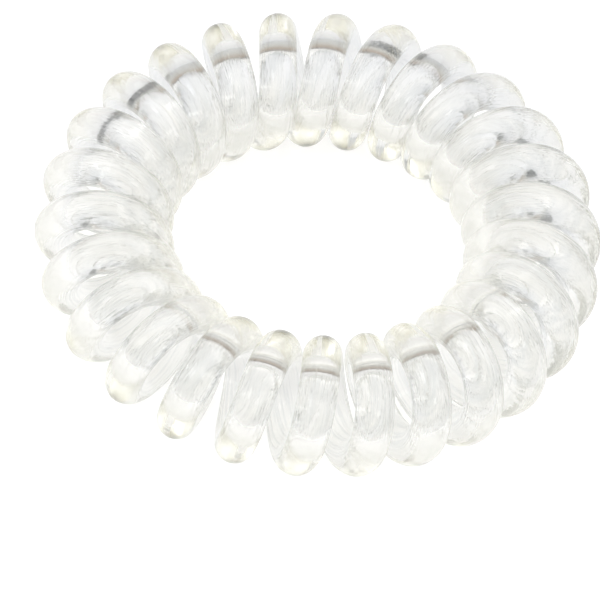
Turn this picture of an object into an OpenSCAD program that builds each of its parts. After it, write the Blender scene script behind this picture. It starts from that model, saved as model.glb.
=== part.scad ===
// Spiral hair tie: one round plastic rod, wound into a coil whose two ends are
// joined, so that the coil closes into a ring. It lies flat, with its hole
// upright and the lowest points of its turns on z = 0.

/* [Ring] */
// Diameter over the outside of the ring
ring_od = 50; // [42:0.5:60]
// Height of the coil as the ring lies
coil_h = 12.2; // [11:0.1:14]

/* [Rod] */
// Diameter of the rod
rod_d = 3.4; // [3:0.1:4]
// Clear space between neighbouring turns at the hole, where they crowd together
turn_gap = 0.05; // [0.05:0.05:1]

/* [Lie of the turns] */
// How far the turns lean along the ring at their outer bends, against a used tie
lean_share = 1; // [0:0.05:1]
// Angle round the turn at which the rod passes the +X side, from 0 outside over 90 on top
start_angle = 193; // [0:1:360]

/* [Mesh] */
// Sides of the rod
rod_sides = 10; // [8:1:12]
// Rings of points along one turn
turn_steps = 22; // [16:1:24]

/* [Hidden] */

// The rod's centre line winds round a circle of radius path_r, at the distance wind_r
path_r = (ring_od - coil_h) / 2;
wind_r = (coil_h - rod_d) / 2;

// As many turns as fit side by side round the hole. The rod runs a little askew
// to the hole's axis there, so each turn takes more room than its own width.
crowded_r = path_r - wind_r;
upright_turns = 2 * PI * crowded_r / (rod_d + turn_gap);
askew = atan(crowded_r / (upright_turns * wind_r));
turns = floor(upright_turns * cos(askew));

// The turns crowd together at the hole, but their outer bends have room and lean
// to and fro along the ring. Each row is one slow wave of that lean:
// [waves round the ring, size in degrees, angle of a peak in degrees]
WAVES = 0;
SIZE = 1;
PEAK = 2;
lean_waves = [
    [1, 1.2, 265],
    [2, 0.8, 83],
    [3, 0.3, 14],
];

function sum(v, i = 0) = i < len(v) ? v[i] + sum(v, i + 1) : 0;

function lean(a) = lean_share * sum([
    for (wave = lean_waves) wave[SIZE] * cos(wave[WAVES] * (a - wave[PEAK]))
]);

// Angle round the turn, and angle round the ring, at the share s of the rod's length.
// The lean fades to nothing at the hole.
function turn_angle(s) = start_angle + 360 * turns * s;
function ring_angle(s) = 360 * s + lean(360 * s) * (1 + cos(turn_angle(s))) / 2;

// Direction straight out from the middle of the turn
function outward(s) =
    let (t = turn_angle(s), a = ring_angle(s))
    [cos(t) * cos(a), cos(t) * sin(a), sin(t)];

function centre_line(s) =
    let (a = ring_angle(s))
    path_r * [cos(a), sin(a), 0] + wind_r * outward(s);

function unit(v) = v / norm(v);

// One ring of points on the rod's skin, square to the rod's run at s
function rod_ring(s) =
    let (
        nearby = 1e-5,
        run = unit(centre_line(s + nearby) - centre_line(s - nearby)),
        out = unit(outward(s) - (outward(s) * run) * run),
        side = cross(run, out)
    )
    [
        for (k = [0:rod_sides - 1])
            let (b = 360 * k / rod_sides)
            centre_line(s) + rod_d / 2 * (cos(b) * out + sin(b) * side)
    ];

rings = turns * turn_steps;
skin = [for (i = [0:rings - 1]) each rod_ring(i / rings)];

// Number of the point at place k of ring i. The last ring meets the first, so the
// rod has no ends.
function at(i, k) = (i % rings) * rod_sides + k % rod_sides;

patches = [
    for (i = [0:rings - 1], k = [0:rod_sides - 1]) each [
        [at(i, k), at(i + 1, k), at(i, k + 1)],
        [at(i, k + 1), at(i + 1, k), at(i + 1, k + 1)],
    ]
];

// The lean leaves the outline a little lopsided, so its box is centred and set on z = 0
low = [for (axis = [0:2]) min([for (p = skin) p[axis]])];
high = [for (axis = [0:2]) max([for (p = skin) p[axis]])];
seat = [-(low.x + high.x) / 2, -(low.y + high.y) / 2, -low.z];

module coil() {
    color([0.94, 0.94, 0.92, 0.5])
        translate(seat)
            polyhedron(points = skin, faces = patches, convexity = 2 * turns);
}

coil();
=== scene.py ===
import math

import bpy
from mathutils import Matrix, Vector


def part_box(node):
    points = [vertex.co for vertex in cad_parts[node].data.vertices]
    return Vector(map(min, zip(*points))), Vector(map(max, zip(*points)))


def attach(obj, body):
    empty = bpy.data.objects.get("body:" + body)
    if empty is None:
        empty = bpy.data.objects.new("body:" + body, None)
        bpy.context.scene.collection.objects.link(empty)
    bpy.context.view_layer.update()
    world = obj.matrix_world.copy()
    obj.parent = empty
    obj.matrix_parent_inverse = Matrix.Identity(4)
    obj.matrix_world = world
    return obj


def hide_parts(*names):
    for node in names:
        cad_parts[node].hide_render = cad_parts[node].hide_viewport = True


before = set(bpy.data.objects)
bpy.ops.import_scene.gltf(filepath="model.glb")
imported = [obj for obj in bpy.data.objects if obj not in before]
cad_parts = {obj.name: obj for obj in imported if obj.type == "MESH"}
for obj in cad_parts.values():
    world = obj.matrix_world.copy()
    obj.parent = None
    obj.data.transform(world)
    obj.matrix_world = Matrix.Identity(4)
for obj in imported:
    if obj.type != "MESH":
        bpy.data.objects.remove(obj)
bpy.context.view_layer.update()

MM = 0.001

# The camera looks down on the lying ring from the front, from 43 cm off with a long lens,
# turned a little about its own axis. The ring lies left of and above the middle of the
# square picture.
ring_low, ring_high = (Vector(corner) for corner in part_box("coil"))
ring_middle = (ring_low + ring_high) / 2
camera_height_angle = math.radians(50)
camera_distance = 430 * MM
camera_roll = math.radians(6)
picture_width = 52.8 * MM
ring_right_of_middle = 1.05 * MM
ring_above_middle = 5.55 * MM

towards_camera = Vector((0, -math.cos(camera_height_angle), math.sin(camera_height_angle)))
level_right = Vector((1, 0, 0))
level_up = towards_camera.cross(level_right)
picture_right = Matrix.Rotation(camera_roll, 3, towards_camera) @ level_right
picture_up = towards_camera.cross(picture_right)
aim = ring_middle - ring_right_of_middle * level_right - ring_above_middle * level_up
camera_data = bpy.data.cameras.new("camera")
camera_data.sensor_width = 36
camera_data.lens = camera_data.sensor_width * camera_distance / picture_width
camera = bpy.data.objects.new("camera", camera_data)
turn = Matrix((picture_right, picture_up, towards_camera)).transposed().to_4x4()
camera.matrix_world = Matrix.Translation(aim + camera_distance * towards_camera) @ turn
camera_data.clip_start = 10 * MM
bpy.context.scene.collection.objects.link(camera)
bpy.context.scene.camera = camera

# The coil is one rod of clear thermoplastic polyurethane, extruded round, wound hot on
# a mandrel and welded end to end. Its turns crowd together round the hole, and their
# outer bends have room to lean to and fro.
rod_width = 3.4 * MM
coil_height = 12.2 * MM
ring_width = 50 * MM
turns = 26
start_angle = math.radians(193)
# waves round the ring, size and angle of a peak in degrees
lean_waves = [
    (1, 1.2, 265),
    (2, 0.8, 83),
    (3, 0.3, 14),
]
steps_per_turn = 64
rod_sides = 48

path_radius = (ring_width - coil_height) / 2
wind_radius = (coil_height - rod_width) / 2


def lean(a):
    """How far the outer bends lean along the ring at angle a, in radians."""
    total = 0
    for waves, size, peak in lean_waves:
        total += math.radians(size) * math.cos(waves * (a - math.radians(peak)))
    return total


def centre_line(s):
    """The rod's centre at share s of its length, and the way straight out from the turn's middle."""
    t = start_angle + 2 * math.pi * turns * s
    a = 2 * math.pi * s
    a += lean(a) * (1 + math.cos(t)) / 2
    outward = Vector((math.cos(t) * math.cos(a), math.cos(t) * math.sin(a), math.sin(t)))
    return path_radius * Vector((math.cos(a), math.sin(a), 0)) + wind_radius * outward, outward


def sweep_rod():
    """The rod's skin as one closed mesh.

    Its UV map runs in millimetres along the rod and in turns round it.
    """
    rings = turns * steps_per_turn
    nearby = 1e-5
    points, along = [], [0.0]
    for i in range(rings):
        here, outward = centre_line(i / rings)
        run = (centre_line(i / rings + nearby)[0] - centre_line(i / rings - nearby)[0]).normalized()
        out = (outward - outward.dot(run) * run).normalized()
        side = run.cross(out)
        along.append(along[-1] + (centre_line((i + 1) / rings)[0] - here).length / MM)
        for k in range(rod_sides):
            b = 2 * math.pi * k / rod_sides
            points.append(here + rod_width / 2 * (math.cos(b) * out + math.sin(b) * side))
    low = Vector(min(p[axis] for p in points) for axis in range(3))
    high = Vector(max(p[axis] for p in points) for axis in range(3))
    middle = (low + high) / 2
    seat = Vector((ring_middle.x - middle.x, ring_middle.y - middle.y, ring_low.z - low.z))
    faces, uvs = [], []
    for i in range(rings):
        for k in range(rod_sides):
            j, m = (i + 1) % rings, (k + 1) % rod_sides
            faces.append((i * rod_sides + k, i * rod_sides + m, j * rod_sides + m, j * rod_sides + k))
            v, w = k / rod_sides, (k + 1) / rod_sides
            uvs += [(along[i], v), (along[i], w), (along[i + 1], w), (along[i + 1], v)]
    mesh = bpy.data.meshes.new("coil_rod")
    mesh.from_pydata([p + seat for p in points], [], faces)
    layer = mesh.uv_layers.new(name="rod")
    layer.data.foreach_set("uv", [number for uv in uvs for number in uv])
    mesh.polygons.foreach_set("use_smooth", [True] * len(faces))
    mesh.update()
    return mesh


def linear(code):
    """An sRGB hex colour as linear numbers."""
    channels = [int(code[i:i + 2], 16) / 255 for i in (1, 3, 5)]
    return [c / 12.92 if c <= 0.04045 else ((c + 0.055) / 1.055) ** 2.4 for c in channels] + [1.0]


def add(tree, kind, links=None, **settings):
    """Adds a node, sets its own settings and plain socket values, and links its inputs."""
    node = tree.nodes.new(kind)
    for name, value in settings.items():
        setattr(node, name, value)
    for name, value in (links or {}).items():
        if isinstance(value, bpy.types.NodeSocket):
            tree.links.new(value, node.inputs[name])
        else:
            node.inputs[name].default_value = value
    return node


def empty_material(name):
    """A new material without any nodes, and its node tree."""
    material = bpy.data.materials.new(name)
    material.use_nodes = True
    material.node_tree.nodes.clear()
    return material, material.node_tree


# The die leaves fine lines along the rod. These are about 0.2 mm wide, drawn coarser than
# real ones so that they show.
line_width = 0.2125 * MM
line_depth = 0.05 * MM
# way through the noise, in rod radii, for each millimetre of rod: a line lasts about 10 mm
line_change = 0.012
# height of the drag lines, as a share of the die lines' own
drag_height = 0.3
tpu_ior = 1.58
clear = "#ffffff"
# grey-blue for the mandrel-side drag lines: painted shade, not a colour of the plastic
streak_shade_grey = "#eef0f2"
ivory_depth = "#f8f5d6"


def clear_tpu():
    """Clear extruded TPU: it looks like glass, faintly ivory where thick, with fine lines in relief along
    it; the drag lines also carry a painted grey-blue shade.
    """
    material, tree = empty_material("clear_extruded_tpu")
    uv = add(tree, "ShaderNodeUVMap", uv_map="rod")
    place = add(tree, "ShaderNodeSeparateXYZ", {"Vector": uv.outputs["UV"]})
    angle = add(tree, "ShaderNodeMath", {0: place.outputs["Y"], 1: 2 * math.pi}, operation="MULTIPLY")
    across = add(tree, "ShaderNodeMath", {0: angle.outputs[0]}, operation="COSINE")
    up = add(tree, "ShaderNodeMath", {0: angle.outputs[0]}, operation="SINE")
    change = add(tree, "ShaderNodeMath", {0: place.outputs["X"], 1: line_change}, operation="MULTIPLY")
    spot = add(tree, "ShaderNodeCombineXYZ", {
        "X": across.outputs[0],
        "Y": up.outputs[0],
        "Z": change.outputs[0],
    })
    lines = add(tree, "ShaderNodeTexNoise", {
        "Vector": spot.outputs[0],
        "Scale": rod_width / 2 / line_width,
        "Detail": 2.0,
        "Roughness": 0.5,
    })
    # the side that lay against the mandrel keeps crisp drag lines in relief, tinted a faint grey-blue:
    # painted shade standing in for the streaks that refraction draws along the rod
    inner = add(tree, "ShaderNodeMapRange", {"Value": across.outputs[0], "From Min": 0.3, "From Max": -0.3})
    drag = add(tree, "ShaderNodeMapRange", {"Value": lines.outputs[0], "From Min": 0.5, "From Max": 0.56},
               interpolation_type="SMOOTHSTEP")
    drag_lines_and_shade = add(tree, "ShaderNodeMath", {0: inner.outputs[0], 1: drag.outputs[0]}, operation="MULTIPLY")
    relief = add(tree, "ShaderNodeMath", {0: drag_lines_and_shade.outputs[0], 1: drag_height, 2: lines.outputs[0]},
                 operation="MULTIPLY_ADD")
    bump = add(tree, "ShaderNodeBump", {
        "Height": relief.outputs[0],
        "Strength": 0.5,
        "Distance": line_depth,
    })
    # painted shade: the drag lines on the mandrel side are tinted grey-blue
    painted_streak_shade = add(tree, "ShaderNodeMix", {
        "Factor": drag_lines_and_shade.outputs[0],
        "A": linear(clear),
        "B": linear(streak_shade_grey),
    }, data_type="RGBA")
    skin = add(tree, "ShaderNodeBsdfPrincipled", {
        "Base Color": painted_streak_shade.outputs["Result"],
        "Roughness": 0.0,
        "IOR": tpu_ior,
        "Transmission Weight": 1.0,
        "Normal": bump.outputs[0],
    })
    body = add(tree, "ShaderNodeVolumeAbsorption", {"Color": linear(ivory_depth), "Density": 15.0})
    add(tree, "ShaderNodeOutputMaterial", {"Surface": skin.outputs[0], "Volume": body.outputs[0]})
    return material


coil = bpy.data.objects.new("coil_rod", sweep_rod())
bpy.context.scene.collection.objects.link(coil)
coil.data.materials.append(clear_tpu())
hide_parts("coil")
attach(coil, "root")

# The tie lies on a sheet of matt white card, lit so bright, with a glow of its own on top,
# that the camera sees it as plain white. Its colour carries painted light and shade, which
# shows through the rod: a painted shaded patch in the middle of the hole, painted light
# brightest under and near the tie and a little in front of it, falling off further out.
sheet_half = 1.5
sheet_gap = 0.02 * MM
# light of its own that the camera sees, so that no shadow greys the white
sheet_lift = 0.1
# the point the card's painted light centres on, a little in front of the tie
painted_light_middle = (0, -6 * MM, 0)
# distance from the middle of the painted light in millimetres, and the card's tone there:
# painted shade in the hole, painted light round the tie, falling off further out
sheet_painted_light = [
    (0, "#e6e6e6"),
    (5, "#e6e6e6"),
    (11, "#fcfcfc"),
    (26, "#fcfcfc"),
    (33, "#ecedef"),
    (47, "#dcdde0"),
    (80, "#ced0d3"),
]

corners = [(x * sheet_half, y * sheet_half, 0) for x, y in [(-1, -1), (1, -1), (1, 1), (-1, 1)]]
sheet_mesh = bpy.data.meshes.new("white_sheet")
sheet_mesh.from_pydata(corners, [], [(0, 1, 2, 3)])
sheet = bpy.data.objects.new("white_sheet", sheet_mesh)
sheet.location.z = ring_low.z - sheet_gap
bpy.context.scene.collection.objects.link(sheet)


def tone_steps(tree, value, steps):
    """A colour that runs through the steps, each a place in millimetres and an sRGB colour."""
    furthest = steps[-1][0]
    share = add(tree, "ShaderNodeMapRange", {"Value": value, "From Max": furthest * MM})
    ramp = add(tree, "ShaderNodeValToRGB", {"Fac": share.outputs[0]})
    elements = ramp.color_ramp.elements
    for place, _ in steps[1:-1]:
        elements.new(place / furthest)
    for element, (place, code) in zip(elements, steps):
        element.position = place / furthest
        element.color = linear(code)
    return ramp.outputs["Color"]


def lit_sheet():
    """Matt white card. The camera sees it blown out to white; the rods refract its tones, which are painted
    light and shade.
    """
    material, tree = empty_material("white_card_painted_light")
    place = add(tree, "ShaderNodeNewGeometry")
    reach = add(tree, "ShaderNodeVectorMath", {0: place.outputs["Position"], 1: painted_light_middle},
                operation="DISTANCE")
    tone = tone_steps(tree, reach.outputs["Value"], sheet_painted_light)
    face = add(tree, "ShaderNodeBsdfDiffuse", {"Color": tone})
    seen = add(tree, "ShaderNodeLightPath")
    white = add(tree, "ShaderNodeBsdfDiffuse", {"Color": linear("#ffffff")})
    lift = add(tree, "ShaderNodeEmission", {"Color": linear("#ffffff"), "Strength": sheet_lift})
    bright = add(tree, "ShaderNodeAddShader", {0: white.outputs[0], 1: lift.outputs[0]})
    both = add(tree, "ShaderNodeMixShader", {
        0: seen.outputs["Is Camera Ray"],
        1: face.outputs[0],
        2: bright.outputs[0],
    })
    add(tree, "ShaderNodeOutputMaterial", {"Surface": both.outputs[0]})
    return material


sheet_mesh.materials.append(lit_sheet())

# Cards stand in arcs round the tie, out of the camera's sight: a warm grey one all along
# the back, two low dark ones close by at its ends and a low light one in front. The rods
# bend them into the arches on top of each turn.
arc_cards = [
    # name, radius and height in millimetres, first and last angle in degrees, and the
    # card's tones by height in millimetres
    ("grey_card", 75, 46, 5, 175, [(0, "#d8dadc"), (21, "#cecdc8"), (33, "#baab9d"), (42, "#a4a09c")]),
    ("right_dark_card", 46, 13, 44, 62, [(0, "#8e9092"), (13, "#5e6062")]),
    ("left_dark_card", 50, 11, 138, 178, [(0, "#909294"), (11, "#707274")]),
    ("low_card", 80, 16, 175, 365, [(0, "#e4e6e8"), (16, "#d8dadc")]),
]
arc_parts = 48


def matt_card(name, tones):
    """Matt card without any gloss, whose tone changes with height."""
    material, tree = empty_material(name)
    place = add(tree, "ShaderNodeNewGeometry")
    level = add(tree, "ShaderNodeSeparateXYZ", {"Vector": place.outputs["Position"]})
    face = add(tree, "ShaderNodeBsdfDiffuse", {"Color": tone_steps(tree, level.outputs["Z"], tones)})
    add(tree, "ShaderNodeOutputMaterial", {"Surface": face.outputs[0]})
    return material


for name, radius, height, first, last, tones in arc_cards:
    edge = [math.radians(first + (last - first) * part / arc_parts) for part in range(arc_parts + 1)]
    foot_line = [(radius * MM * math.cos(a), radius * MM * math.sin(a), sheet.location.z) for a in edge]
    top_line = [(x, y, z + height * MM) for x, y, z in foot_line]
    above = arc_parts + 1
    panels = [(i, i + 1, i + 1 + above, i + above) for i in range(arc_parts)]
    card_mesh = bpy.data.meshes.new(name)
    card_mesh.from_pydata(foot_line + top_line, [], panels)
    card = bpy.data.objects.new(name, card_mesh)
    card_mesh.materials.append(matt_card("matt_" + name, tones))
    bpy.context.scene.collection.objects.link(card)
    card.visible_camera = False
    card.visible_diffuse = False
    card.visible_shadow = False

# Light: a white tent all round, brighter overhead, and a softbox on each side of the
# camera. The camera sees the tent as plain white.
tent_side = 0.87
tent_top = 1.28
# sines of the height angles from which it brightens, and from which it has its full light
brightens_from = 0.5
brightest_from = 0.9

world = bpy.data.worlds.new("tent")
bpy.context.scene.world = world
world.use_nodes = True
sky = world.node_tree
sky.nodes.clear()
way = add(sky, "ShaderNodeTexCoord")
parts = add(sky, "ShaderNodeSeparateXYZ", {"Vector": way.outputs["Generated"]})
rise = add(sky, "ShaderNodeMapRange", {
    "Value": parts.outputs["Z"],
    "From Min": brightens_from,
    "From Max": brightest_from,
    "To Min": tent_side,
    "To Max": tent_top,
}, interpolation_type="SMOOTHSTEP")
seen = add(sky, "ShaderNodeLightPath")
plain = add(sky, "ShaderNodeMix", {"Factor": seen.outputs["Is Camera Ray"], "A": rise.outputs[0], "B": 1.0})
light = add(sky, "ShaderNodeBackground", {"Color": linear("#ffffff"), "Strength": plain.outputs[0]})
add(sky, "ShaderNodeOutputWorld", {"Surface": light.outputs[0]})

softbox_distance = 400 * MM
softbox_radiance = 2.5
softboxes = [
    # name, angle round the tie and height angle in degrees, width and depth in millimetres
    ("softbox_right", -68, 35, 100, 60),
    ("softbox_left", -145, 45, 120, 90),
]
for name, turned, raised, width, depth in softboxes:
    softbox_data = bpy.data.lights.new(name, "AREA")
    softbox_data.shape = "RECTANGLE"
    softbox_data.size = width * MM
    softbox_data.size_y = depth * MM
    softbox_data.energy = softbox_radiance * math.pi * width * MM * depth * MM
    softbox = bpy.data.objects.new(name, softbox_data)
    turned, raised = math.radians(turned), math.radians(raised)
    towards_softbox = Vector((
        math.cos(raised) * math.cos(turned),
        math.cos(raised) * math.sin(turned),
        math.sin(raised),
    ))
    softbox.location = softbox_distance * towards_softbox
    softbox.rotation_euler = towards_softbox.to_track_quat("Z", "Y").to_euler()
    bpy.context.scene.collection.objects.link(softbox)

# Light passes through many clear strands, one behind the other, so it needs many bounces.
rod_bounces = 32
view = bpy.context.scene.view_settings
view.view_transform = "Standard"
cycles = bpy.context.scene.cycles
cycles.max_bounces = rod_bounces
cycles.transmission_bounces = rod_bounces
cycles.glossy_bounces = rod_bounces
cycles.diffuse_bounces = 4
cycles.blur_glossy = 0.0
